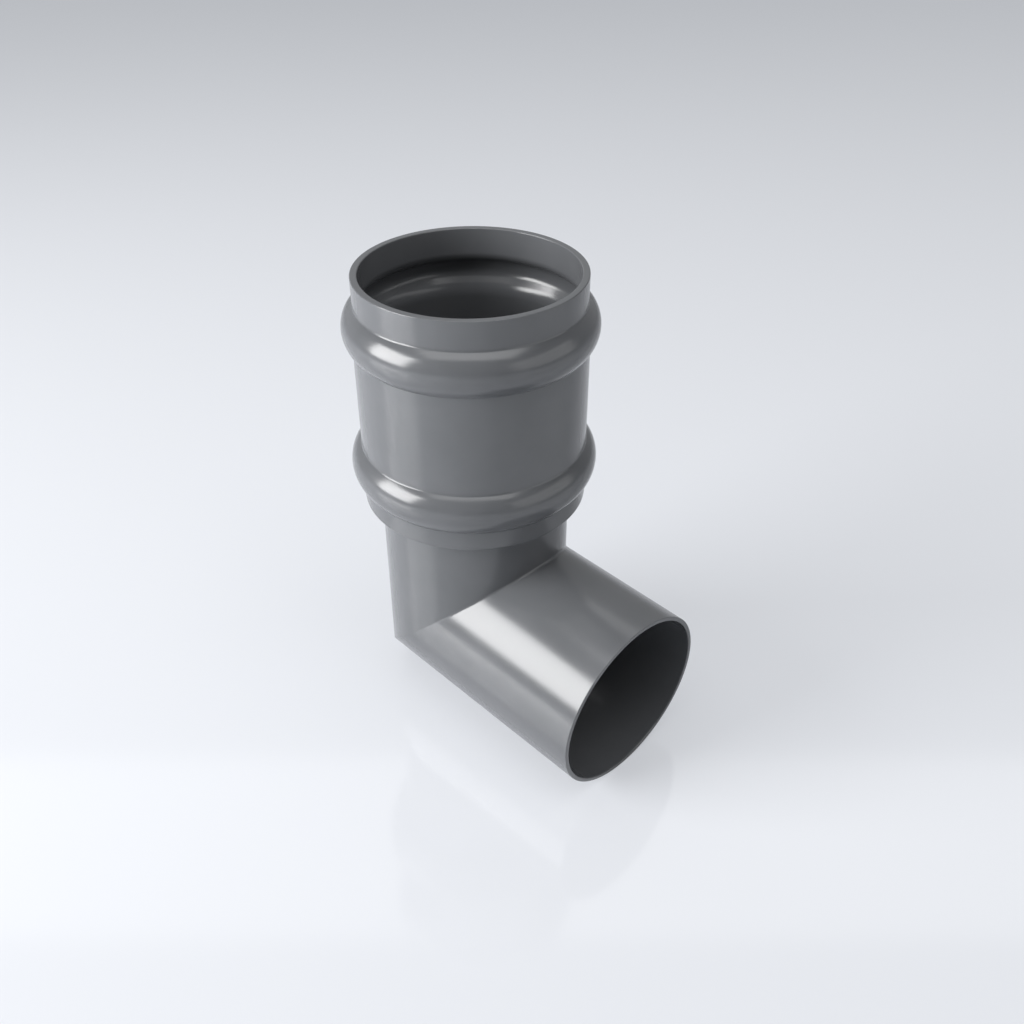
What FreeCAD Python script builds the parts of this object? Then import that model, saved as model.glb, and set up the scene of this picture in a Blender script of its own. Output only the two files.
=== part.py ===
import FreeCAD, Part
import math
import os
import Sketcher

# Downpipe bend for an 80 mm rainwater pipe, moulded in one piece.
# The pipe drops into a socket with two hollow beads and stands on a ledge at its foot.
# Below the ledge a narrower tube turns through a sharp mitre, and its free end is the
# spigot that slips into the next pipe.
# Millimetres. The origin is the centre of the socket's mouth, with +Z up the socket's
# axis, so the part hangs below it, and the spigot points along +X.

os.makedirs("parts", exist_ok=True)
doc = FreeCAD.newDocument("rainwater")

# Driving dimensions: name, value, what it measures
DIMENSIONS = (
    ("pipe_radius", 40.0, "outside of the pipes that the bend joins"),
    ("pipe_wall", 1.8, "wall of those pipes"),
    ("socket_clearance", 0.5, "play round the upper pipe in the socket's collar"),
    ("spigot_clearance", 0.2, "play round the spigot in the lower pipe"),
    ("socket_wall", 2.7, "wall of the socket, in its straight parts and in the lower bead"),
    ("socket_depth", 93.4, "mouth down to the underside of the socket"),
    ("barrel_step", 1.1, "barrel between the beads, out from the collar"),
    ("band_step", 0.2, "band at the socket's foot, out from the barrel"),
    ("bead_roundness", 11.2, "radius of a bead's outside in section"),
    ("upper_bead_depth", 19.8, "mouth down to the upper bead's centre"),
    ("upper_bead_height", 3.65, "upper bead, out from the barrel"),
    ("groove_rise", 7.95, "top of the groove inside the upper bead, up from the bead's centre"),
    ("groove_drop", 6.0, "foot of that groove, down from the bead's centre"),
    ("groove_corner_rise", 2.3, "corner of the groove's two sides, up from the bead's centre"),
    ("groove_corner_cover", 0.5, "that corner, before it is rounded, in from the bead's peak"),
    ("lower_bead_rise", 16.9, "underside of the socket up to the lower bead's centre"),
    ("lower_bead_height", 4.25, "lower bead, out from the barrel"),
    ("tube_wall", 1.8, "wall of the tube"),
    ("corner_depth", 150.4, "mouth down to where the two centre lines meet"),
    ("bend_angle", 87.5, "turn from the socket's axis to the spigot's, in degrees"),
    ("spigot_reach", 88.0, "corner to the spigot's end, along its axis"),
    ("mouth_chamfer", 0.4, "edges of the mouth"),
    ("bead_top_round", 1.2, "hollow where a wall runs down onto a bead"),
    ("bead_foot_round", 0.4, "hollow where a bead runs back into the wall"),
    ("groove_round", 5.0, "corner of the groove's two sides"),
    ("groove_foot_round", 9.0, "edge at the groove's foot"),
    ("band_round", 1.2, "outer edge under the socket"),
    ("neck_round", 0.8, "hollow where the tube leaves the socket"),
    ("seat_chamfer", 0.6, "edge, at the waterway, of the ledge that the pipe stands on"),
    ("crease_round", 1.0, "groove along the inner side of the mitre"),
    ("crease_spread", 80.0, "how far round the tube that groove runs each way, in degrees"),
    ("spigot_chamfer", 0.4, "edges of the spigot's end"),
)

sizes = doc.addObject("Spreadsheet::Sheet", "sizes")
for row, (name, value, meaning) in enumerate(DIMENSIONS, start=1):
    sizes.set(f"A{row}", name)
    sizes.set(f"B{row}", str(value))
    sizes.set(f"C{row}", meaning)
    sizes.setAlias(f"B{row}", name)
doc.recompute()

# Sizes that follow from the driving ones, as formulas of the sheet
COLLAR = "sizes.pipe_radius + sizes.socket_clearance + sizes.socket_wall"
BARREL = f"{COLLAR} + sizes.barrel_step"
BAND = f"{BARREL} + sizes.band_step"
TUBE = "sizes.pipe_radius - sizes.pipe_wall - sizes.spigot_clearance"
WATERWAY = f"{TUBE} - sizes.tube_wall"
SEAT_DEPTH = "sizes.socket_depth - sizes.socket_wall"
OUTSIDE = "0"
INSIDE = "sizes.socket_wall"

# Each bead: how far out and how deep its arc is centred, then the walls over and under it
UPPER_BEAD = (
    f"{BARREL} + sizes.upper_bead_height - sizes.bead_roundness",
    "sizes.upper_bead_depth",
    COLLAR,
    BARREL,
)
LOWER_BEAD = (
    f"{BARREL} + sizes.lower_bead_height - sizes.bead_roundness",
    "sizes.socket_depth - sizes.lower_bead_rise",
    BARREL,
    BAND,
)
OVER, UNDER = "over", "under"

# The three corners of the groove inside the upper bead: how far out, and how deep
GROOVE_FOOT = (f"{BARREL} - {INSIDE}", "sizes.upper_bead_depth + sizes.groove_drop")
GROOVE_CORNER = (
    f"{BARREL} + sizes.upper_bead_height - sizes.groove_corner_cover",
    "sizes.upper_bead_depth - sizes.groove_corner_rise",
)
GROOVE_TOP = (f"{COLLAR} - {INSIDE}", "sizes.upper_bead_depth - sizes.groove_rise")

# How a sketch numbers the ends of a curve, and its own axes, which count down from -1
START, END, CENTRE = range(1, 4)
LEVEL_AXIS, UPRIGHT_AXIS = range(-1, -3, -1)
ORIGIN = (LEVEL_AXIS, START)
CLOSE = 0.001


def measure(formula):
    """Value of a formula of the sheet, in millimetres or degrees."""
    return float(sizes.evalExpression(formula))


def spot(across, up):
    """A point of a sketch."""
    return FreeCAD.Vector(across, up, 0)


def new_sketch(body, name, role):
    """An empty sketch on one of the body's own origin planes."""
    sketch = body.newObject("Sketcher::SketchObject", name)
    plane = next(feature for feature in body.Origin.OriginFeatures if feature.Role == role)
    sketch.AttachmentSupport = [(plane, "")]
    sketch.MapMode = "FlatFace"
    return sketch


def drive(sketch, name, constraint, formula, value=None):
    """Add a dimension to a sketch and tie it to a formula of the sheet."""
    if value is None:
        value = measure(formula)
    index = sketch.addConstraint(Sketcher.Constraint(*constraint, value))
    sketch.renameConstraint(index, name)
    sketch.setExpression(f"Constraints.{name}", formula)


def join(sketch, curve, end, other, other_end):
    """Make two ends meet."""
    sketch.addConstraint(Sketcher.Constraint("Coincident", curve, end, other, other_end))


def straight(sketch, start, end, direction=None):
    """A straight line, held upright or level where a direction is given."""
    curve = sketch.addGeometry(Part.LineSegment(start, end), False)
    if direction:
        sketch.addConstraint(Sketcher.Constraint(direction, curve))
    return curve


def bead_meets_wall(bead, side, inset):
    """Where a bead's arc meets the wall over or under it: how far out, and at what height."""
    centre, depth, wall_over, wall_under = bead
    wall = measure(f"{wall_over if side == OVER else wall_under} - {inset}")
    roundness = measure(f"sizes.bead_roundness - {inset}")
    half_height = math.sqrt(roundness**2 - (wall - measure(centre)) ** 2)
    return wall, (half_height if side == OVER else -half_height) - measure(depth)


def draw_bead(sketch, name, bead, inset):
    """The arc of a bead, from the wall under it up to the wall over it."""
    centre = spot(measure(bead[0]), -measure(bead[1]))
    roundness = f"sizes.bead_roundness - {inset}"
    low, high = (spot(*bead_meets_wall(bead, side, inset)) - centre for side in (UNDER, OVER))
    circle = Part.Circle(centre, FreeCAD.Vector(0, 0, 1), measure(roundness))
    arc = Part.ArcOfCircle(circle, math.atan2(low.y, low.x), math.atan2(high.y, high.x))
    curve = sketch.addGeometry(arc, False)
    drive(sketch, f"{name}_roundness", ("Radius", curve), roundness)
    return curve


def groove_point(corner):
    """A corner of the groove: how far out, and at what height."""
    out, depth = corner
    return measure(out), -measure(depth)


def draw_groove(sketch):
    """The groove inside the upper bead: a long side up to its corner, then one to its top."""
    corners = (GROOVE_FOOT, GROOVE_CORNER, GROOVE_TOP)
    foot, corner, top = (spot(*groove_point(place)) for place in corners)
    long_side = straight(sketch, foot, corner)
    top_side = straight(sketch, corner, top)
    join(sketch, long_side, END, top_side, START)
    for name, curve, end, (_, depth) in (
        ("foot", long_side, START, GROOVE_FOOT),
        ("corner", top_side, START, GROOVE_CORNER),
        ("top", top_side, END, GROOVE_TOP),
    ):
        drive(sketch, f"groove_{name}_down", ("DistanceY", curve, end, *ORIGIN), depth)
    corner_out, _ = GROOVE_CORNER
    drive(sketch, "groove_corner_out", ("DistanceX", *ORIGIN, top_side, START), corner_out)
    return long_side, top_side


def draw_skin(sketch, skin, inset, foot_depth, upper):
    """One side of the socket's wall from mouth to foot: collar, bead, barrel, bead, band.

    The upper bead is in the sketch already, as its lowest and its highest curve.
    """
    upper_low, upper_high = upper
    lower = draw_bead(sketch, f"{skin}_lower", LOWER_BEAD, inset)
    over, under = sketch.Geometry[upper_high].EndPoint, sketch.Geometry[upper_low].StartPoint
    low_over, low_under = sketch.Geometry[lower].EndPoint, sketch.Geometry[lower].StartPoint
    collar = straight(sketch, spot(over.x, 0), over, "Vertical")
    barrel = straight(sketch, under, low_over, "Vertical")
    band = straight(sketch, low_under, spot(low_under.x, -measure(foot_depth)), "Vertical")
    join(sketch, collar, END, upper_high, END)
    join(sketch, upper_low, START, barrel, START)
    join(sketch, barrel, END, lower, END)
    join(sketch, lower, START, band, START)
    sketch.addConstraint(Sketcher.Constraint("PointOnObject", collar, START, LEVEL_AXIS))
    for name, wall, formula in (
        ("collar", collar, COLLAR),
        ("barrel", barrel, BARREL),
        ("band", band, BAND),
    ):
        across = ("DistanceX", *ORIGIN, wall, START)
        drive(sketch, f"{skin}_{name}_radius", across, f"{formula} - {inset}")
    drive(sketch, f"{skin}_foot_depth", ("DistanceY", band, END, *ORIGIN), foot_depth)
    return collar, lower, band


def draw_socket_section(body):
    """The socket's wall cut through on one side: two skins, the rim and the ledge."""
    sketch = new_sketch(body, "socket_section", "XZ_Plane")
    upper = draw_bead(sketch, "outer_upper", UPPER_BEAD, OUTSIDE)
    groove = draw_groove(sketch)
    outer_collar, outer_lower, outer_band = draw_skin(
        sketch, "outer", OUTSIDE, "sizes.socket_depth", (upper, upper)
    )
    inner_collar, inner_lower, inner_band = draw_skin(
        sketch, "inner", INSIDE, SEAT_DEPTH, groove
    )
    for name, bead, arc in (("upper", UPPER_BEAD, upper), ("lower", LOWER_BEAD, outer_lower)):
        centre, depth = bead[:2]
        drive(sketch, f"{name}_bead_out", ("DistanceX", *ORIGIN, arc, CENTRE), centre)
        drive(sketch, f"{name}_bead_down", ("DistanceY", arc, CENTRE, *ORIGIN), depth)
    join(sketch, inner_lower, CENTRE, outer_lower, CENTRE)

    rim_inside = sketch.Geometry[inner_collar].StartPoint
    rim_outside = sketch.Geometry[outer_collar].StartPoint
    rim = straight(sketch, rim_inside, rim_outside)
    join(sketch, rim, START, inner_collar, START)
    join(sketch, rim, END, outer_collar, START)

    # The socket's foot closes in on the outside of the tube
    foot = sketch.Geometry[outer_band].EndPoint
    seat_edge = sketch.Geometry[inner_band].EndPoint
    tube = measure(TUBE)
    underside = straight(sketch, foot, spot(tube, foot.y), "Horizontal")
    tube_side = straight(sketch, spot(tube, foot.y), spot(tube, seat_edge.y), "Vertical")
    seat = straight(sketch, spot(tube, seat_edge.y), seat_edge, "Horizontal")
    join(sketch, outer_band, END, underside, START)
    join(sketch, underside, END, tube_side, START)
    join(sketch, tube_side, END, seat, START)
    join(sketch, seat, END, inner_band, END)
    drive(sketch, "foot_radius", ("DistanceX", *ORIGIN, tube_side, START), TUBE)
    return sketch


def draw_centre_line(body):
    """The tube's centre line: down from the seat to the corner, then out to the end."""
    sketch = new_sketch(body, "centre_line", "XZ_Plane")
    turn = math.radians(measure("sizes.bend_angle"))
    top = spot(0, -measure(SEAT_DEPTH))
    corner = spot(0, -measure("sizes.corner_depth"))
    end = corner + spot(math.sin(turn), -math.cos(turn)) * measure("sizes.spigot_reach")
    drop = straight(sketch, top, corner, "Vertical")
    spigot = straight(sketch, corner, end)
    join(sketch, drop, END, spigot, START)
    sketch.addConstraint(Sketcher.Constraint("PointOnObject", drop, START, UPRIGHT_AXIS))
    drive(sketch, "seat_down", ("DistanceY", drop, START, *ORIGIN), SEAT_DEPTH)
    drive(sketch, "corner_down", ("DistanceY", drop, END, *ORIGIN), "sizes.corner_depth")
    drive(sketch, "reach", ("Distance", spigot), "sizes.spigot_reach")
    # The turn is the angle between the two runs taken in the direction of flow
    drive(sketch, "turn", ("Angle", drop, START, spigot, START), "sizes.bend_angle * 1 deg", turn)
    return sketch


def draw_tube_section(body):
    """The tube cut across at the height of the seat."""
    sketch = new_sketch(body, "tube_section", "XY_Plane")
    sketch.setExpression("AttachmentOffset.Base.z", f"-({SEAT_DEPTH})")
    for name, formula in (("outside", TUBE), ("waterway", WATERWAY)):
        circle = Part.Circle(spot(0, 0), FreeCAD.Vector(0, 0, 1), measure(formula))
        curve = sketch.addGeometry(circle, False)
        join(sketch, curve, CENTRE, *ORIGIN)
        drive(sketch, name, ("Radius", curve), formula)
    return sketch


def draw_turn_side(body):
    """The same cut, of the wall on the side that the tube turns to."""
    sketch = new_sketch(body, "turn_side_section", "XY_Plane")
    sketch.setExpression("AttachmentOffset.Base.z", f"-({SEAT_DEPTH})")
    spread = math.radians(measure("sizes.crease_spread"))
    arcs = []
    for name, formula in (("outside", TUBE), ("waterway", WATERWAY)):
        circle = Part.Circle(spot(0, 0), FreeCAD.Vector(0, 0, 1), measure(formula))
        arc = sketch.addGeometry(Part.ArcOfCircle(circle, -spread, spread), False)
        join(sketch, arc, CENTRE, *ORIGIN)
        drive(sketch, name, ("Radius", arc), formula)
        arcs.append(arc)
    outer, inner = (sketch.Geometry[arc] for arc in arcs)
    for name, end, side in (("right", START, -1), ("left", END, 1)):
        start, stop = (
            (arc.StartPoint if end == START else arc.EndPoint) for arc in (inner, outer)
        )
        edge = straight(sketch, start, stop)
        join(sketch, edge, START, arcs[1], end)
        join(sketch, edge, END, arcs[0], end)
        sketch.addConstraint(Sketcher.Constraint("PointOnObject", *ORIGIN, edge))
        angle = ("Angle", LEVEL_AXIS, edge)
        drive(sketch, name, angle, f"{side} * sizes.crease_spread * 1 deg", side * spread)
    return sketch


def names_of(shape, wanted):
    """Names of a shape's edges that pass a test."""
    return [f"Edge{n}" for n, edge in enumerate(shape.Edges, start=1) if wanted(edge)]


def round_ring(edge, centre, radius):
    """Whether an edge is the circle of a radius about a centre."""
    if not isinstance(edge.Curve, Part.Circle) or abs(edge.Curve.Radius - radius) > CLOSE:
        return False
    return edge.Curve.Center.distanceToPoint(centre) < CLOSE


def level_rings(*rings):
    """A search for circles round the socket's axis, each given by its radius and height."""

    def search(shape):
        found = []
        for radius, height in rings:
            centre = FreeCAD.Vector(0, 0, height)
            found += names_of(shape, lambda edge: round_ring(edge, centre, radius))
        return found

    return search


def spigot_end_rings(shape):
    """The outer and the inner circle of the spigot's end."""
    turn = math.radians(measure("sizes.bend_angle"))
    along = FreeCAD.Vector(math.sin(turn), 0, -math.cos(turn))
    corner = FreeCAD.Vector(0, 0, -measure("sizes.corner_depth"))
    end = corner + along * measure("sizes.spigot_reach")
    found = []
    for radius in (measure(TUBE), measure(WATERWAY)):
        found += names_of(shape, lambda edge: round_ring(edge, end, radius))
    return found


def mitre_groove(shape):
    """The mitre's outer edges on the side that the bend turns to."""
    outside = measure(TUBE)

    def wanted(edge):
        if not isinstance(edge.Curve, Part.Ellipse):
            return False
        middle = edge.valueAt((edge.FirstParameter + edge.LastParameter) / 2)
        return middle.x > 0 and abs(math.hypot(middle.x, middle.y) - outside) < CLOSE

    return names_of(shape, wanted)


def dress_edges(body, name, search, feature, size, formula):
    """Round or chamfer the edges that a search finds on the body as it stands."""
    doc.recompute()
    base = body.Tip
    edges = search(base.Shape)
    dressing = body.newObject(feature, name)
    dressing.Base = (base, edges)
    dressing.setExpression(size, formula)


def round_off(body, name, search, radius):
    """A fillet on the edges that a search finds."""
    dress_edges(body, name, search, "PartDesign::Fillet", "Radius", radius)


def chamfer_off(body, name, search, size):
    """A chamfer on the edges that a search finds."""
    dress_edges(body, name, search, "PartDesign::Chamfer", "Size", size)


def round_bends(body):
    """The rounds where the moulding's walls bend, from the upper bead down to the neck."""
    bead_tops, bead_feet = (
        level_rings(*(bead_meets_wall(bead, side, OUTSIDE) for bead in (UPPER_BEAD, LOWER_BEAD)))
        for side in (OVER, UNDER)
    )
    groove_corner = level_rings(groove_point(GROOVE_CORNER))
    groove_foot = level_rings(groove_point(GROOVE_FOOT))
    lower_lip = bead_meets_wall(LOWER_BEAD, OVER, INSIDE)
    top_lips = level_rings(groove_point(GROOVE_TOP), lower_lip)
    foot_lip = level_rings(bead_meets_wall(LOWER_BEAD, UNDER, INSIDE))
    foot = -measure("sizes.socket_depth")
    under_band = level_rings((measure(BAND), foot))
    at_neck = level_rings((measure(TUBE), foot))
    # An inner lip is rounder than the hollow behind it by the wall, which keeps the wall even
    for name, search, radius in (
        ("bead_tops", bead_tops, "sizes.bead_top_round"),
        ("bead_feet", bead_feet, "sizes.bead_foot_round"),
        ("groove_corner", groove_corner, "sizes.groove_round"),
        ("groove_foot", groove_foot, "sizes.groove_foot_round"),
        ("top_lips", top_lips, "sizes.bead_top_round + sizes.socket_wall"),
        ("foot_lip", foot_lip, "sizes.bead_foot_round + sizes.socket_wall"),
        ("band_edge", under_band, "sizes.band_round"),
        ("neck", at_neck, "sizes.neck_round"),
    ):
        round_off(body, name, search, radius)


def chamfer_ends(body):
    """The chamfers that lead a pipe in at the mouth, off the ledge and over the spigot."""
    mouth = level_rings((measure(COLLAR), 0), (measure(f"{COLLAR} - {INSIDE}"), 0))
    seat_edge = level_rings((measure(WATERWAY), -measure(SEAT_DEPTH)))
    chamfer_off(body, "mouth", mouth, "sizes.mouth_chamfer")
    chamfer_off(body, "seat_edge", seat_edge, "sizes.seat_chamfer")
    chamfer_off(body, "spigot_end", spigot_end_rings, "sizes.spigot_chamfer")


def sweep(body, name, section, centre_line):
    """A section carried down the centre line and mitred at its corner."""
    pipe = body.newObject("PartDesign::AdditivePipe", name)
    pipe.Profile = section
    pipe.Spine = (centre_line, ["Edge1", "Edge2"])
    pipe.Transition = "Right corner"


def make_bend():
    """The whole bend: the mitred tube, the socket round its top, then rounds and chamfers."""
    body = doc.addObject("PartDesign::Body", "downpipe_bend")
    body.Label = "downpipe_bend"
    centre_line = draw_centre_line(body)
    # The mitre's groove thins away to nothing at the sides, where the two walls run on
    # smoothly. So it is rounded on the wall of the turning side alone, and the full tube
    # then closes round it.
    sweep(body, "turn_side", draw_turn_side(body), centre_line)
    round_off(body, "crease", mitre_groove, "sizes.crease_round")
    sweep(body, "tube", draw_tube_section(body), centre_line)
    socket_section = draw_socket_section(body)
    socket = body.newObject("PartDesign::Revolution", "socket")
    socket.Profile = socket_section
    socket.ReferenceAxis = (socket_section, ["V_Axis"])
    socket.Angle = 360
    round_bends(body)
    chamfer_ends(body)
    return body


def check(body):
    """Stop on any feature that failed, and on a shape that isn't one sound solid."""
    for item in doc.Objects:
        if "Invalid" in item.State or "Error" in item.State:
            raise RuntimeError(f"{item.Name} failed: {item.State}")
    if body.Shape.isNull() or not body.Shape.isValid() or len(body.Shape.Solids) != 1:
        raise RuntimeError(f"{body.Label} isn't one sound solid")


bend = make_bend()
doc.recompute()
check(bend)
bend.Shape.exportStep(f"parts/{bend.Label}.step")
print(bend.Label, "holds", round(bend.Shape.Volume), "cubic millimetres of plastic")
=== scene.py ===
# %% [markdown]
# # A downpipe bend in grey plastic
# This lesson dresses one moulded rainwater fitting: a socket with two hollow beads, a
# narrower tube that turns through a sharp mitre, and a plain spigot. The construction
# model is loaded first and never moves. Everything here is in metres, in its frame: the
# origin is the centre of the socket's mouth, +Z runs up the socket, and the spigot points
# along +X.
# %% Load the construction model
import math

import bpy
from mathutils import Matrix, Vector


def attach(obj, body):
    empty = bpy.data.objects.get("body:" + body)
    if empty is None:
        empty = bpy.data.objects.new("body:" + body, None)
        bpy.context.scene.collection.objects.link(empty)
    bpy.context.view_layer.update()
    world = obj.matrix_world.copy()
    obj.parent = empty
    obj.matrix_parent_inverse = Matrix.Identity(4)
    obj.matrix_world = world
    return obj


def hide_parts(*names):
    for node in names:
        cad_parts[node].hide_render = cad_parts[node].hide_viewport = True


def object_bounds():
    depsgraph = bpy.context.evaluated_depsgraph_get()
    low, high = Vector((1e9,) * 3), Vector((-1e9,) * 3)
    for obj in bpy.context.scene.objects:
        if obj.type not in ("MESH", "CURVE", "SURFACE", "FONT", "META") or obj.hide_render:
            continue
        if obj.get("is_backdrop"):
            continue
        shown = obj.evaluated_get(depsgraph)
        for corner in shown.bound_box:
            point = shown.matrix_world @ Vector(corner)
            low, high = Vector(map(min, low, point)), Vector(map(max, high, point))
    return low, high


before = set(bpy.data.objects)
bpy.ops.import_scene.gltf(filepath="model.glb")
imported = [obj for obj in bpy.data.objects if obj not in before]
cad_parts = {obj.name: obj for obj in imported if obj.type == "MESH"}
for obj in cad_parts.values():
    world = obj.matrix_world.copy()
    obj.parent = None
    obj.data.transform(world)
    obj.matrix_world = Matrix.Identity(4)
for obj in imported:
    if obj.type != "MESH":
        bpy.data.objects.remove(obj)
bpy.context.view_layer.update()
NODE = "downpipe_bend"
MM = 0.001

# %% [markdown]
# ## The camera
# The photograph looks down on the bend from in front, with the spigot coming towards the
# viewer and to the right. Lines that meet far away show how strong its perspective is. The
# camera is therefore placed from two angles, one place and one focal length in pixels of a
# square picture, and the lens follows from those.
# %% Set the camera
PICTURE_SIDE = 1024
FOCAL_PIXELS = 1059.964
SENSOR = 36.0
CAMERA_PLACE = (0.26499, -0.24373, 0.15052)
CAMERA_DIP = 35.599
CAMERA_HEADING = 45.0


def set_camera():
    """A camera at the photograph's viewing angle."""
    data = bpy.data.cameras.new("camera")
    camera = bpy.data.objects.new("camera", data)
    bpy.context.scene.collection.objects.link(camera)
    data.sensor_width = SENSOR
    data.lens = FOCAL_PIXELS / PICTURE_SIDE * SENSOR
    camera.location = CAMERA_PLACE
    level = 90.0
    tilt = math.radians(level - CAMERA_DIP)
    camera.rotation_euler = (tilt, 0, math.radians(CAMERA_HEADING))
    bpy.context.scene.camera = camera
    return camera


camera = set_camera()
print("Lens:", round(camera.data.lens, 2), "mm")

# %% [markdown]
# ## The sizes of the wall
# The fitting is one wall, 2.7 mm thick in the socket and 1.8 mm in the tube. The inside is
# mostly the outside's line moved in by that much. Only the upper bead has a groove of its
# own inside, with a long lower side and a short upper one. These are the sizes that the
# drawing of the wall needs, in millimetres. Heights are measured down from the mouth.
# %% Name the sizes
COLLAR, BARREL, BAND, TUBE = 43.2, 44.3, 44.5, 38.0
SOCKET_WALL, TUBE_WALL = 2.7, 1.8
BEAD_ROUND, UPPER_SHOULDER, LOWER_SHOULDER = 11.2, 10.5, 9.9
UPPER_BEAD_DEPTH, UPPER_BEAD_HEIGHT = 19.8, 3.65
LOWER_BEAD_DEPTH, LOWER_BEAD_HEIGHT = 76.5, 4.25
GROOVE_RISE, GROOVE_DROP = 7.95, 6.0
GROOVE_CORNER_RISE, GROOVE_CORNER_COVER = 2.3, 0.5
GROOVE_ROUND, GROOVE_FOOT_ROUND = 5.0, 9.0
UNDERSIDE_DEPTH, CORNER_DEPTH = 93.4, 150.4
SPIGOT_REACH = 88.0
TURN = 87.5
TOP_ROUND, FOOT_ROUND = 1.2, 0.4
BAND_ROUND, NECK_ROUND, SEAT_ROUND = 1.2, 0.8, 0.6
MOUTH_ROUND, END_ROUND = 0.4, 0.4
CREASE_ROUND, CORNER_ROUND, SIDE_ROUND = 1.0, 0.3, 0.2
UPPER_BEAD = (BARREL + UPPER_BEAD_HEIGHT, -UPPER_BEAD_DEPTH, UPPER_SHOULDER, COLLAR, BARREL)
LOWER_BEAD = (BARREL + LOWER_BEAD_HEIGHT, -LOWER_BEAD_DEPTH, LOWER_SHOULDER, BARREL, BAND)
print("Beads reach", BARREL + UPPER_BEAD_HEIGHT, "and", BARREL + LOWER_BEAD_HEIGHT, "mm out")

# %% [markdown]
# ## Drawing the wall in section
# A moulded pipe like this could be modelled by spinning a curve, by joining cylinders, or
# by pushing rings about by hand. Spinning a drawn section is closest to how the mould's
# core is turned, so the section comes first. It is drawn as if the pipe were straight,
# with the spigot's part hanging below the corner, and it is folded later.
# Each point holds its distance from the axis, its distance along the pipe from the corner,
# and how much of the turn lies behind it. Rounds get many short steps. Straight runs get
# few, with one point close to each end, so that light runs flat over the straight part and
# bends only on the round.
# %% Pen strokes for the section
ARC_STEP, LEAST_STEPS = math.radians(6.5), 3
RUN_STEP = 5.0
END_GUARD = 0.25
ABOVE, BELOW = 0.0, 1.0


def arc_points(centre, radius, start, stop):
    """Points of an arc in the section, both ends included. Angles are in radians."""
    steps = max(LEAST_STEPS, math.ceil(abs(stop - start) / ARC_STEP))
    angles = [start + (stop - start) * step / steps for step in range(steps + 1)]
    return [(centre[0] + radius * math.cos(a), centre[1] + radius * math.sin(a)) for a in angles]


def run_points(start, stop):
    """Points inside a straight run, whose ends belong to the arcs that it joins."""
    first, last = Vector(start), Vector(stop)
    length = (last - first).length
    guard = min(END_GUARD, length / 4)
    steps = max(1, round((length - 2 * guard) / RUN_STEP))
    along = [guard + (length - 2 * guard) * step / steps for step in range(steps + 1)]
    return [tuple(first.lerp(last, distance / length)) for distance in along]


def quarter(corner, radius, across, up, start, stop):
    """A round in a square corner: across and up point from the corner to its centre."""
    centre = (corner[0] + across * radius, corner[1] + up * radius)
    return arc_points(centre, radius, math.radians(start), math.radians(stop))


def corner_arc(before, corner, after, radius):
    """The round between two straight runs that meet in a corner at any angle."""
    middle = Vector(corner)
    back, onward = (Vector(point) - middle for point in (before, after))
    half = back.angle(onward) / 2
    back.normalize()
    onward.normalize()
    centre = middle + (back + onward).normalized() * radius / math.sin(half)
    touch = radius / math.tan(half)
    first, last = (middle + way * touch - centre for way in (back, onward))
    start = math.atan2(first.y, first.x)
    turn = math.atan2(first.x * last.y - first.y * last.x, first.dot(last))
    return arc_points(centre, radius, start, start + turn)


sample = quarter((COLLAR, 0), MOUTH_ROUND, -1, -1, 0, 90)
print("A mouth edge has", len(sample), "points")

# %% [markdown]
# ## The beads
# On the real fitting a bead is a hollow roll in the wall that stiffens the socket. In
# section its outside is two large arcs that meet at the furthest point, the upper one
# slightly tighter, between two small hollows. The hollows touch the bead and the straight
# wall smoothly. The lower bead's inside is the same line moved in by the wall's thickness.
# That keeps every centre and changes only the radii: the bead's get smaller and the
# hollows' get larger, which makes the soft lips inside. The upper bead is open to the
# inside as a groove with a shape of its own, a long lower side and a short upper one.
# %% Draw a bead
def bead_points(bead, inset):
    """One skin of the wall over a bead, from under it to over it."""
    peak, height, shoulder, over, under = bead
    hollows, rolls = [], []
    for wall, hollow, roll, side in (
        (under, FOOT_ROUND, BEAD_ROUND, -1),
        (over, TOP_ROUND, shoulder, 1),
    ):
        middle = peak - roll
        out = wall + hollow - middle
        up = side * math.sqrt((roll + hollow) ** 2 - out**2)
        angle = math.atan2(up, out)
        hollows.append(((wall + hollow, height + up), hollow + inset, math.pi, math.pi + angle))
        rolls.append(((middle, height), roll - inset, 0, angle))
    points = arc_points(*hollows[0])
    points += arc_points(*rolls[0])[::-1][1:]
    points += arc_points(*rolls[1])[1:]
    points += arc_points(*hollows[1])[::-1][1:]
    return points


def groove_points():
    """The groove inside the upper bead, from its top edge to its foot, as three rounds."""
    bore, barrel_bore = COLLAR - SOCKET_WALL, BARREL - SOCKET_WALL
    top = (bore, GROOVE_RISE - UPPER_BEAD_DEPTH)
    corner = (
        BARREL + UPPER_BEAD_HEIGHT - GROOVE_CORNER_COVER,
        GROOVE_CORNER_RISE - UPPER_BEAD_DEPTH,
    )
    foot = (barrel_bore, -GROOVE_DROP - UPPER_BEAD_DEPTH)
    return (
        corner_arc((bore, 0), top, corner, TOP_ROUND + SOCKET_WALL),
        corner_arc(top, corner, foot, GROOVE_ROUND),
        corner_arc(corner, foot, (barrel_bore, -LOWER_BEAD_DEPTH), GROOVE_FOOT_ROUND),
    )


print("Upper bead:", len(bead_points(UPPER_BEAD, 0)), "points on the outside")

# %% [markdown]
# ## The whole section
# One closed line: up the outside from the spigot's end, over the rim, and down the inside.
# The fold at the corner is a row of points that share one place and differ only in how far
# the turn has gone. They spread out into the mitre's round when the pipe is folded.
# %% Draw the section
FOLD_STEPS = 8


def joined(*strokes):
    """Strokes one after the other, with a straight run wherever two of them don't touch."""
    line = list(strokes[0])
    for stroke in strokes[1:]:
        line += run_points(line[-1], stroke[0]) + list(stroke)
    return line


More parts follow.
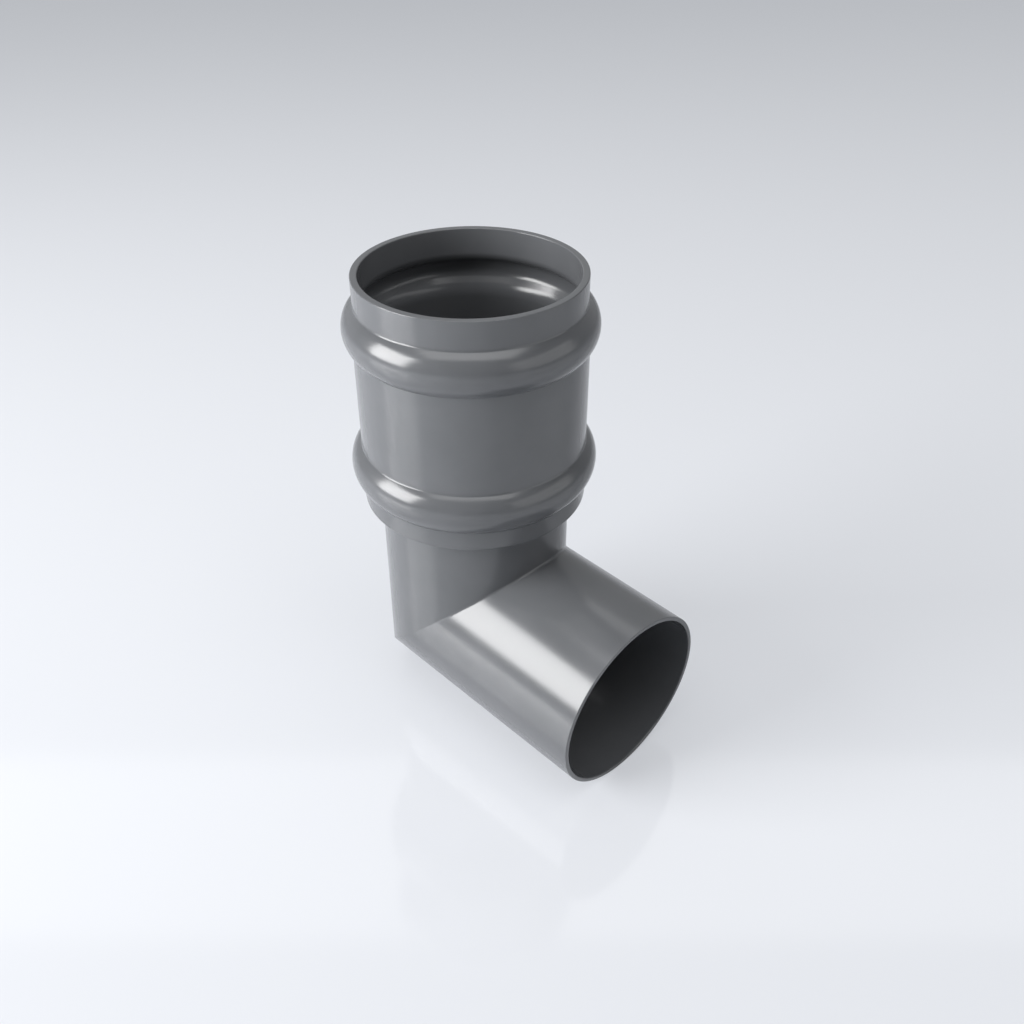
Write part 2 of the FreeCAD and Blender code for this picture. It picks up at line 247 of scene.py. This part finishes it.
def socket_outside():
    """Outer skin from the neck up to the rim's outer edge, with the mouth at height 0."""
    neck = quarter((TUBE, -UNDERSIDE_DEPTH), NECK_ROUND, 1, -1, 180, 90)
    band = quarter((BAND, -UNDERSIDE_DEPTH), BAND_ROUND, -1, 1, -90, 0)
    mouth = quarter((COLLAR, 0), MOUTH_ROUND, -1, -1, 0, 90)
    return joined(neck, band, bead_points(LOWER_BEAD, 0), bead_points(UPPER_BEAD, 0), mouth)


def socket_inside():
    """Inner skin from the rim's inner edge down to the ledge's edge at the waterway."""
    bore, seat = TUBE - TUBE_WALL, -UNDERSIDE_DEPTH + SOCKET_WALL
    mouth = quarter((COLLAR - SOCKET_WALL, 0), MOUTH_ROUND, 1, -1, 90, 180)
    lower = bead_points(LOWER_BEAD, SOCKET_WALL)[::-1]
    corner = quarter((BAND - SOCKET_WALL, seat), SEAT_ROUND, -1, 1, 0, -90)
    ledge = quarter((bore, seat), SEAT_ROUND, 1, -1, 90, 180)
    return joined(mouth, *groove_points(), lower, corner, ledge)


def with_turn(points, turn):
    """Section points that all lie on one side of the corner."""
    return [(out, up, turn) for out, up in points]


def fold_points(out, first, last):
    """The row of points at the corner, from one side of the turn to the other."""
    turns = [first + (last - first) * step / FOLD_STEPS for step in range(FOLD_STEPS + 1)]
    return [(out, 0.0, turn) for turn in turns]


def draw_section():
    """The closed section as (out, along, turn), with a flag for each point on the outside."""
    raised = [
        [(out, up + CORNER_DEPTH) for out, up in skin]
        for skin in (socket_outside(), socket_inside())
    ]
    bore, end = TUBE - TUBE_WALL, -SPIGOT_REACH
    outer_end = quarter((TUBE, end), END_ROUND, -1, 1, -90, 0)
    inner_end = quarter((bore, end), END_ROUND, 1, 1, 180, 270)
    ring = run_points(inner_end[-1], outer_end[0])
    outside = with_turn(outer_end + run_points(outer_end[-1], (TUBE, 0)), BELOW)
    outside += fold_points(TUBE, BELOW, ABOVE)
    outside += with_turn(run_points((TUBE, 0), raised[0][0]) + raised[0], ABOVE)
    rim = with_turn(run_points(raised[0][-1], raised[1][0]), ABOVE)
    inside = with_turn(raised[1] + run_points(raised[1][-1], (bore, 0)), ABOVE)
    inside += fold_points(bore, ABOVE, BELOW)
    inside += with_turn(run_points((bore, 0), inner_end[0]) + inner_end + ring, BELOW)
    flags = [1.0] * len(outside) + [0.0] * (len(rim) + len(inside))
    return outside + rim + inside, flags


section, outside_flags = draw_section()
print("The section has", len(section), "points")

# %% [markdown]
# The section becomes a mesh of loose points, which is what the node tree reads. Its X is
# the distance from the axis, its Z the distance along the pipe, and two attributes carry
# the turn and the side of the wall.
# %% Make the section's mesh
def section_object(points, flags):
    """An object that holds the section's points and their two attributes."""
    mesh = bpy.data.meshes.new("wall_section")
    places = [(out * MM, 0.0, along * MM) for out, along, _ in points]
    mesh.from_pydata(places, [], [])
    turn = mesh.attributes.new("turn", "FLOAT", "POINT")
    turn.data.foreach_set("value", [point[2] for point in points])
    outer = mesh.attributes.new("outer", "FLOAT", "POINT")
    outer.data.foreach_set("value", flags)
    made = bpy.data.objects.new("wall_section", mesh)
    bpy.context.scene.collection.objects.link(made)
    return made


drawing = section_object(section, outside_flags)
print("Section points in the mesh:", len(drawing.data.vertices))

# %% [markdown]
# ## Spinning and folding with Geometry Nodes
# The bend follows a rule, so a node tree makes it and its sizes stay open to change. A grid
# has one column for each step round the pipe and one row for each point of the section. The
# tree looks up a row's point, turns it to its column's angle, and then folds the pipe.
# The fold works on each line along the pipe by itself. Such a line lies in an upright
# plane, so its corner is a plain arc. Both halves of the line start further from the corner
# the further the line lies towards the inside of the bend, by the tangent of half the turn,
# and that is what makes a mitre.
# %% Small helpers for building node trees
def wire(tree, value, socket):
    """Link a socket's value, or write a plain one."""
    if isinstance(value, bpy.types.NodeSocket):
        tree.links.new(value, socket)
    else:
        socket.default_value = value


def reckon(tree, operation, *values):
    """One Math node, with its result."""
    node = tree.nodes.new("ShaderNodeMath")
    node.operation = operation
    for value, socket in zip(values, node.inputs):
        wire(tree, value, socket)
    return node.outputs[0]


def add(tree, *values):
    """The sum of any number of values."""
    total = values[0]
    for value in values[1:]:
        total = reckon(tree, "ADD", total, value)
    return total


def times(tree, first, second):
    """The product of two values."""
    return reckon(tree, "MULTIPLY", first, second)


def take(tree, first, second):
    """The first value less the second."""
    return reckon(tree, "SUBTRACT", first, second)


def new_input(tree, name, kind, default):
    """A named input of a tree, with its default where it has one."""
    socket = tree.interface.new_socket(name, in_out="INPUT", socket_type=kind)
    if default is not None:
        socket.default_value = default
    return socket


print("Helpers ready")

# %% [markdown]
# The lookup reads one value of the section at a row's point. The grid has one row and one
# column more than it needs. The spare ones fall on the first ones again, and merging them
# closes the shape.
# %% Nodes that read the section
def look_up(tree, section, kind, value, station):
    """A value of the section, read at a station along it."""
    node = tree.nodes.new("GeometryNodeSampleIndex")
    node.data_type = kind
    wire(tree, section, node.inputs["Geometry"])
    wire(tree, value, node.inputs["Value"])
    wire(tree, station, node.inputs["Index"])
    return node.outputs["Value"]


def named(tree, name):
    """A named float attribute."""
    node = tree.nodes.new("GeometryNodeInputNamedAttribute")
    node.data_type = "FLOAT"
    node.inputs["Name"].default_value = name
    return node.outputs["Attribute"]


def whole(tree, operation, first, second):
    """One Integer Math node, with its result."""
    node = tree.nodes.new("FunctionNodeIntegerMath")
    node.operation = operation
    wire(tree, first, node.inputs[0])
    wire(tree, second, node.inputs[1])
    return node.outputs[0]


def spin_grid(tree, section, steps):
    """A grid for the spun section: its mesh, each point's angle, and its station."""
    size = tree.nodes.new("GeometryNodeAttributeDomainSize")
    size.component = "MESH"
    wire(tree, section, size.inputs["Geometry"])
    rows = whole(tree, "ADD", size.outputs["Point Count"], 1)
    grid = tree.nodes.new("GeometryNodeMeshGrid")
    wire(tree, whole(tree, "ADD", steps, 1), grid.inputs["Vertices X"])
    wire(tree, rows, grid.inputs["Vertices Y"])
    index = tree.nodes.new("GeometryNodeInputIndex").outputs[0]
    column = whole(tree, "DIVIDE", index, rows)
    row = whole(tree, "MODULO", index, rows)
    station = whole(tree, "MODULO", row, size.outputs["Point Count"])
    lap = reckon(tree, "DIVIDE", column, steps)
    angle = times(tree, lap, math.tau)
    return grid.outputs["Mesh"], angle, station


print("Lookup nodes ready")

# %% [markdown]
# Now the fold itself. `side` is how far a line lies towards the inside of the bend. The
# corner's round is largest in the crease that shows on the bend's inner side, and shrinks
# towards the two flanks of the pipe, where there is nothing to fold. `setback` is where the
# straight halves begin. The stations of each half are drawn together in step with it, so
# that the socket and the spigot's end stay where they are.
# %% Nodes that fold the pipe
def fold_round(tree, cosine, outer, sizes):
    """Radius of the corner's round on one line along the pipe."""
    inside = reckon(tree, "MAXIMUM", cosine, 0.0)
    in_crease = times(tree, outer, inside)
    off_flank = reckon(tree, "ABSOLUTE", cosine)
    crease_gain = take(tree, sizes["Crease round"], sizes["Corner round"])
    corner_gain = take(tree, sizes["Corner round"], sizes["Side round"])
    return add(
        tree,
        sizes["Side round"],
        times(tree, off_flank, corner_gain),
        times(tree, in_crease, crease_gain),
    )


def fold_place(tree, out, along, turn, outer, angle, sizes):
    """Where a point of the wall lies once the pipe is spun and folded."""
    cosine = reckon(tree, "COSINE", angle)
    side = times(tree, out, cosine)
    radius = fold_round(tree, cosine, outer, sizes)
    half_turn = times(tree, sizes["Turn"], 0.5)
    setback = times(tree, reckon(tree, "TANGENT", half_turn), add(tree, side, radius))

    # How much of the half's length is left, and how far out along it the point lies
    below = reckon(tree, "LESS_THAN", along, 0.0)
    half_length = add(
        tree,
        times(tree, below, sizes["Spigot reach"]),
        times(tree, take(tree, 1.0, below), sizes["Tube drop"]),
    )
    distance = reckon(tree, "ABSOLUTE", along)
    share = reckon(tree, "MINIMUM", reckon(tree, "DIVIDE", distance, half_length), 1.0)
    reach = take(tree, distance, times(tree, setback, share))

    # The arc's point, then straight on in the direction of the half
    bent = times(tree, turn, sizes["Turn"])
    sine_bent, cosine_bent = reckon(tree, "SINE", bent), reckon(tree, "COSINE", bent)
    onward = times(tree, below, reach)
    upward = times(tree, take(tree, 1.0, below), reach)
    across = add(
        tree,
        side,
        times(tree, radius, take(tree, 1.0, cosine_bent)),
        times(tree, onward, sine_bent),
    )
    height = add(tree, setback, upward, times(tree, sizes["Corner depth"], -1.0))
    drop = add(tree, times(tree, radius, sine_bent), times(tree, onward, cosine_bent))
    place = tree.nodes.new("ShaderNodeCombineXYZ")
    wire(tree, across, place.inputs["X"])
    wire(tree, times(tree, out, reckon(tree, "SINE", angle)), place.inputs["Y"])
    wire(tree, take(tree, height, drop), place.inputs["Z"])
    return place.outputs[0]


print("Fold nodes ready")

# %% [markdown]
# The tree joins these parts. Its inputs carry the sizes by name. It ends by merging the
# spare row and column, shading smooth, realizing, and setting the material.
# %% Build the tree
STEPS_ROUND = 240
WELD = 1e-6
TREE_SIZES = {
    "Turn": math.radians(TURN),
    "Corner depth": CORNER_DEPTH * MM,
    "Tube drop": (CORNER_DEPTH - UNDERSIDE_DEPTH) * MM,
    "Spigot reach": SPIGOT_REACH * MM,
    "Crease round": CREASE_ROUND * MM,
    "Corner round": CORNER_ROUND * MM,
    "Side round": SIDE_ROUND * MM,
}


def build_bend_tree():
    """The node tree that spins the wall's section and folds it into the bend."""
    tree = bpy.data.node_groups.new("spin_and_fold", "GeometryNodeTree")
    new_input(tree, "Section", "NodeSocketGeometry", None)
    new_input(tree, "Steps round", "NodeSocketInt", STEPS_ROUND)
    for name, value in TREE_SIZES.items():
        new_input(tree, name, "NodeSocketFloat", value)
    new_input(tree, "Plastic", "NodeSocketMaterial", None)
    tree.interface.new_socket("Bend", in_out="OUTPUT", socket_type="NodeSocketGeometry")
    given = tree.nodes.new("NodeGroupInput").outputs
    wall = given["Section"]
    grid, angle, station = spin_grid(tree, wall, given["Steps round"])

    position = tree.nodes.new("GeometryNodeInputPosition").outputs[0]
    point = look_up(tree, wall, "FLOAT_VECTOR", position, station)
    split = tree.nodes.new("ShaderNodeSeparateXYZ")
    wire(tree, point, split.inputs[0])
    turn = look_up(tree, wall, "FLOAT", named(tree, "turn"), station)
    outer = look_up(tree, wall, "FLOAT", named(tree, "outer"), station)
    out, along = split.outputs["X"], split.outputs["Z"]
    place = fold_place(tree, out, along, turn, outer, angle, given)

    moved = tree.nodes.new("GeometryNodeSetPosition")
    wire(tree, grid, moved.inputs["Geometry"])
    wire(tree, place, moved.inputs["Position"])
    shape = moved.outputs["Geometry"]
    for kind, settings in (
        ("GeometryNodeMergeByDistance", {"Distance": WELD}),
        ("GeometryNodeSetShadeSmooth", {}),
        ("GeometryNodeRealizeInstances", {}),
        ("GeometryNodeSetMaterial", {"Material": given["Plastic"]}),
    ):
        node = tree.nodes.new(kind)
        wire(tree, shape, node.inputs["Geometry"])
        for name, value in settings.items():
            wire(tree, value, node.inputs[name])
        shape = node.outputs["Geometry"]
    wire(tree, shape, tree.nodes.new("NodeGroupOutput").inputs["Bend"])
    return tree


bend_tree = build_bend_tree()
print("The tree has", len(bend_tree.nodes), "nodes")

# %% [markdown]
# ## The plastic
# The fitting is moulded in a mid grey with a satin skin. Close up, the skin isn't smooth:
# it has a very fine grain from the mould, which breaks up the edges of the highlights, and
# its sheen is a little uneven where the melt cooled at different speeds. An image could
# carry all that, but noise in the object's own coordinates has no seams and keeps its real
# size. A few helpers make the noise, stretch it and turn it into colours.
# %% Helpers for materials
MIX_FIRST, MIX_SECOND, MIX_RESULT = 6, 7, 2


def noise(tree, where, size, detail):
    """Noise whose lumps are about as large as the size given, in metres."""
    node = tree.nodes.new("ShaderNodeTexNoise")
    wire(tree, where, node.inputs["Vector"])
    node.inputs["Scale"].default_value = 1 / size
    node.inputs["Detail"].default_value = detail
    return node.outputs[0]


def spread(tree, value, low, high):
    """A noise value, whose middle part is stretched between two numbers."""
    node = tree.nodes.new("ShaderNodeMapRange")
    wire(tree, value, node.inputs["Value"])
    middle, reach = 0.5, 0.2
    node.inputs["From Min"].default_value = middle - reach
    node.inputs["From Max"].default_value = middle + reach
    node.inputs["To Min"].default_value = low
    node.inputs["To Max"].default_value = high
    return node.outputs[0]


def blend_colours(tree, factor, first, second):
    """A mix of two colours. The node's sockets share their names, so numbers tell them apart."""
    node = tree.nodes.new("ShaderNodeMix")
    node.data_type = "RGBA"
    wire(tree, factor, node.inputs["Factor"])
    node.inputs[MIX_FIRST].default_value = first
    node.inputs[MIX_SECOND].default_value = second
    return node.outputs[MIX_RESULT]


print("Material helpers ready")

# %% [markdown]
# The grain is a fraction of a millimetre across, and the slow unevenness a few centimetres.
# Both move the sheen by the same share. The slow one also shades the grey a little, and the
# fine one lifts the surface by some thousandths of a millimetre.
# %% Make the plastic
PLASTIC_DARK = (0.106, 0.110, 0.117, 1)
PLASTIC_LIGHT = (0.117, 0.121, 0.129, 1)
SHEEN_TIGHT, SHEEN_LOOSE = 0.18, 0.23
CLOUD_SIZE, CLOUD_DETAIL = 22 * MM, 3
GRAIN_SIZE, GRAIN_DETAIL = 0.35 * MM, 2
GRAIN_DEPTH = 0.006 * MM
EQUAL_SHARE = 0.5
PLASTIC_IOR = 1.54


def make_plastic():
    """Satin grey moulded plastic with a very fine grain."""
    material = bpy.data.materials.new("grey_plastic_satin")
    material.use_nodes = True
    tree = material.node_tree
    shader = tree.nodes["Principled BSDF"]
    where = tree.nodes.new("ShaderNodeTexCoord").outputs["Object"]
    clouds = noise(tree, where, CLOUD_SIZE, CLOUD_DETAIL)
    grain = noise(tree, where, GRAIN_SIZE, GRAIN_DETAIL)
    grey = blend_colours(tree, spread(tree, clouds, 0, 1), PLASTIC_DARK, PLASTIC_LIGHT)
    wire(tree, grey, shader.inputs["Base Color"])
    sheen = times(tree, add(tree, clouds, grain), EQUAL_SHARE)
    wire(tree, spread(tree, sheen, SHEEN_TIGHT, SHEEN_LOOSE), shader.inputs["Roughness"])
    bump = tree.nodes.new("ShaderNodeBump")
    bump.inputs["Distance"].default_value = GRAIN_DEPTH
    wire(tree, grain, bump.inputs["Height"])
    wire(tree, bump.outputs[0], shader.inputs["Normal"])
    shader.inputs["IOR"].default_value = PLASTIC_IOR
    return material


plastic = make_plastic()
print("Material:", plastic.name)

# %% [markdown]
# ## Making the bend
# The modifier's inputs are set by each socket's identifier before anything is worked out.
# The result is then kept as a plain mesh, so the piece needs no modifier later, and it
# replaces the construction node on screen.
# %% Run the tree
def inputs_of(tree):
    """Each named input's identifier."""
    return {
        item.name: item.identifier
        for item in tree.interface.items_tree
        if item.item_type == "SOCKET" and item.in_out == "INPUT"
    }


def make_bend(source):
    """The finished bend as a plain mesh object, made by the tree from the section."""
    modifier = source.modifiers.new("spin_and_fold", "NODES")
    modifier.node_group = bend_tree
    keys = inputs_of(bend_tree)
    modifier[keys["Steps round"]] = STEPS_ROUND
    for name, value in TREE_SIZES.items():
        modifier[keys[name]] = value
    modifier[keys["Plastic"]] = plastic
    graph = bpy.context.evaluated_depsgraph_get()
    mesh = bpy.data.meshes.new_from_object(source.evaluated_get(graph))
    mesh.name = "downpipe_bend_shell"
    source.modifiers.clear()
    bpy.data.objects.remove(source)
    piece = bpy.data.objects.new("downpipe_bend_shell", mesh)
    bpy.context.scene.collection.objects.link(piece)
    return piece


shell = make_bend(drawing)
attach(shell, "root")
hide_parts(NODE)
print("Bend:", len(shell.data.vertices), "points,", len(shell.data.polygons), "faces")

# %% [markdown]
# ## Fading with depth
# Both the floor's painted shade and the room's light change from the photographer's side to the
# far side.
# The direction is fixed in the scene, along the floor from the photographer past the
# fitting, so nothing slides when another camera looks. Two helpers read how deep a place
# or a direction lies, and turn that into a soft step.
# %% Helpers for the studio
def into_depth(tree, vector):
    """How far a place or a direction lies towards the far side, along the floor."""
    split = tree.nodes.new("ShaderNodeSeparateXYZ")
    wire(tree, vector, split.inputs[0])
    heading = math.radians(CAMERA_HEADING)
    across = times(tree, split.outputs["X"], -math.sin(heading))
    return add(tree, across, times(tree, split.outputs["Y"], math.cos(heading)))


def ramp(tree, value, start, end, low, high):
    """A soft step from one number to another."""
    node = tree.nodes.new("ShaderNodeMapRange")
    node.interpolation_type = "SMOOTHSTEP"
    wire(tree, value, node.inputs["Value"])
    for name, number in (
        ("From Min", start),
        ("From Max", end),
        ("To Min", low),
        ("To Max", high),
    ):
        node.inputs[name].default_value = number
    return node.outputs[0]


print("Studio helpers ready")

# %% [markdown]
# ## The floor
# The fitting stands on a pale, slightly glossy sheet. Its colour darkens with distance as
# painted shade, for the light that falls off towards the far side. The sheet mirrors the
# fitting faintly, and the shadow on it is light. A plain dielectric floor gives the mirror
# image. Part of that colour is shown to the camera as it is, whatever light falls there,
# which lightens the shadow without more light on the fitting.
# %% Make the floor's material
# The far colour is darker than the near one as painted shade, for light that falls off with
# distance.
FLOOR_NEAR = (0.748, 0.768, 0.810, 1)
FLOOR_FAR_PAINTED_SHADE = (0.405, 0.425, 0.47, 1)
FADE_START, FADE_END = 0.05, 2.4
FLOOR_ROUGHNESS = 0.09
FLOOR_PLAIN = 0.55


def make_floor_material():
    """A pale, slightly glossy sheet, darker towards the far side as painted shade."""
    material = bpy.data.materials.new("studio_floor")
    material.use_nodes = True
    tree = material.node_tree
    shader = tree.nodes["Principled BSDF"]
    where = tree.nodes.new("ShaderNodeTexCoord").outputs["Object"]
    # Painted shade: the colour darkens with depth, as if less light reached the far floor.
    painted_falloff = ramp(tree, into_depth(tree, where), FADE_START, FADE_END, 0, 1)
    colour = blend_colours(tree, painted_falloff, FLOOR_NEAR, FLOOR_FAR_PAINTED_SHADE)
    camera_ray = tree.nodes.new("ShaderNodeLightPath").outputs["Is Camera Ray"]
    plain = times(tree, camera_ray, FLOOR_PLAIN)
    lit = tree.nodes.new("ShaderNodeVectorMath")
    lit.operation = "SCALE"
    wire(tree, colour, lit.inputs[0])
    wire(tree, take(tree, 1.0, plain), lit.inputs["Scale"])
    wire(tree, lit.outputs[0], shader.inputs["Base Color"])
    wire(tree, colour, shader.inputs["Emission Color"])
    wire(tree, plain, shader.inputs["Emission Strength"])
    shader.inputs["Roughness"].default_value = FLOOR_ROUGHNESS
    return material


floor_material = make_floor_material()
print("Material:", floor_material.name)

# %% [markdown]
# The sheet itself is one large flat face. It lies at the lowest point of the bend, which is
# the bottom of the spigot's end.
# %% Lay the floor
FLOOR_HALF = 6.0


def lay_floor():
    """A flat sheet that touches the lowest point of the bend."""
    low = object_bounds()[0].z
    mesh = bpy.data.meshes.new("floor")
    sides = ((-1, -1), (1, -1), (1, 1), (-1, 1))
    corners = [(x * FLOOR_HALF, y * FLOOR_HALF, low) for x, y in sides]
    mesh.from_pydata(corners, [], [(0, 1, 2, 3)])
    mesh.materials.append(floor_material)
    sheet = bpy.data.objects.new("floor", mesh)
    bpy.context.scene.collection.objects.link(sheet)
    sheet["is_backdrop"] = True
    return low


floor_height = lay_floor()
print("Floor at", round(floor_height / MM, 2), "mm")

# %% [markdown]
# ## The light
# The long highlight on the spigot, the spots on the beads and the one in the groove all
# come from one soft box on the left. Its bearing and its height follow from where a mirror
# in those places would look. A box overhead, on the photographer's side, draws the pale
# bands along the tops of the beads, and a weak, wide one fills the right. A long, shallow
# box high up behind makes the floor round the fitting's mirror image a little paler, so
# that the image shows, and leaves a faint streak on top of the spigot.
# Each box is placed by angles, seen from a point in the middle of the fitting. Its `glow` is
# how bright its face looks, so a box can change size without changing the highlights.
# %% Hang the lamps
AIM = (0.02, -0.01, -0.10)
LAMPS = {
    "left_box": {"bearing": -118, "height": 21.5, "across": 36, "up": 35, "glow": 12.7},
    "top_box": {"bearing": -45, "height": 75, "across": 58, "up": 39, "glow": 2.3},
    "right_box": {"bearing": 22, "height": 18, "across": 60, "up": 34, "glow": 1.0},
    "back_box": {"bearing": 135, "height": 53.5, "across": 84, "up": 13, "glow": 1.0},
}
LAMP_DISTANCE = 1.2


def hang_lamp(name, bearing, height, across, up, glow):
    """A soft box that faces the fitting. Its place and its size are given as angles."""
    data = bpy.data.lights.new(name, "AREA")
    data.shape = "RECTANGLE"
    data.size, data.size_y = (
        2 * LAMP_DISTANCE * math.tan(math.radians(angle / 2)) for angle in (across, up)
    )
    data.energy = glow * math.pi * data.size * data.size_y
    lamp = bpy.data.objects.new(name, data)
    bpy.context.scene.collection.objects.link(lamp)
    bearing, height = math.radians(bearing), math.radians(height)
    away = Vector(
        (
            math.cos(bearing) * math.cos(height),
            math.sin(bearing) * math.cos(height),
            math.sin(height),
        )
    )
    lamp.location = Vector(AIM) + away * LAMP_DISTANCE
    lamp.rotation_euler = away.to_track_quat("Z", "Y").to_euler()
    lamp.visible_camera = False


for name, settings in LAMPS.items():
    hang_lamp(name, **settings)
print("Lamps:", list(LAMPS))

# %% [markdown]
# The rest of the light is a dim room whose far wall is paler, and which the plastic mirrors
# faintly at its edges. The camera itself sees one plain grey behind the floor, which only
# low views reach.
# %% Light the room
ROOM_LIGHT = (0.96, 0.98, 1.0, 1)
ROOM_STRENGTH, WALL_STRENGTH = 0.09, 0.38
WALL_START, WALL_END = 0.3, 0.95
BACKDROP = (0.42, 0.44, 0.48, 1)


def light_room():
    """A dim room with a paler wall behind the fitting, and a plain colour for the camera."""
    world = bpy.data.worlds.new("room")
    bpy.context.scene.world = world
    world.use_nodes = True
    tree = world.node_tree
    light = tree.nodes["Background"]
    light.inputs["Color"].default_value = ROOM_LIGHT
    way = tree.nodes.new("ShaderNodeTexCoord").outputs["Generated"]
    depth = into_depth(tree, way)
    bright = ROOM_STRENGTH + WALL_STRENGTH
    strength = ramp(tree, depth, WALL_START, WALL_END, ROOM_STRENGTH, bright)
    wire(tree, strength, light.inputs["Strength"])
    plain = tree.nodes.new("ShaderNodeBackground")
    plain.inputs["Color"].default_value = BACKDROP
    choice = tree.nodes.new("ShaderNodeMixShader")
    path = tree.nodes.new("ShaderNodeLightPath")
    wire(tree, path.outputs["Is Camera Ray"], choice.inputs[0])
    wire(tree, light.outputs[0], choice.inputs[1])
    wire(tree, plain.outputs[0], choice.inputs[2])
    wire(tree, choice.outputs[0], tree.nodes["World Output"].inputs["Surface"])


light_room()
bpy.context.scene.view_settings.view_transform = "Standard"
print("Room strength:", ROOM_STRENGTH, "to", ROOM_STRENGTH + WALL_STRENGTH)
